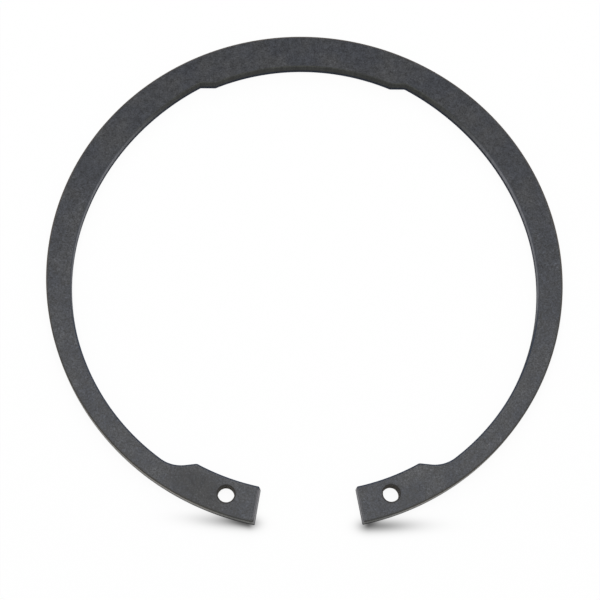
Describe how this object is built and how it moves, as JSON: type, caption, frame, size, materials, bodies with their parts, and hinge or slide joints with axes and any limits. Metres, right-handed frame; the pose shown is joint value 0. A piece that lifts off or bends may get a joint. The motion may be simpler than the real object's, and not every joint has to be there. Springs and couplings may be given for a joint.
{
  "type": "internal retaining ring",
  "caption": "Flat internal circlip of dark spring steel: an open ring that thins towards its gap, with a wide pad opposite it and a lug with a plier hole at each end.",
  "frame": {"origin": "centre of the round outer rim, in the plane of the lower face", "axes": "+Z along the ring's axis, out of the upper face; -Y through the gap, +Y through the pad; +X to the right seen from above with the gap nearest"},
  "size_m": [0.148, 0.1465, 0.004],
  "materials": {
    "phosphated_steel": "black phosphated spring steel, matt, with fine grain and bare-looking stamped edges"
  },
  "bodies": {
    "root": {"retaining_ring": "phosphated_steel"}
  },
  "joints": []
}
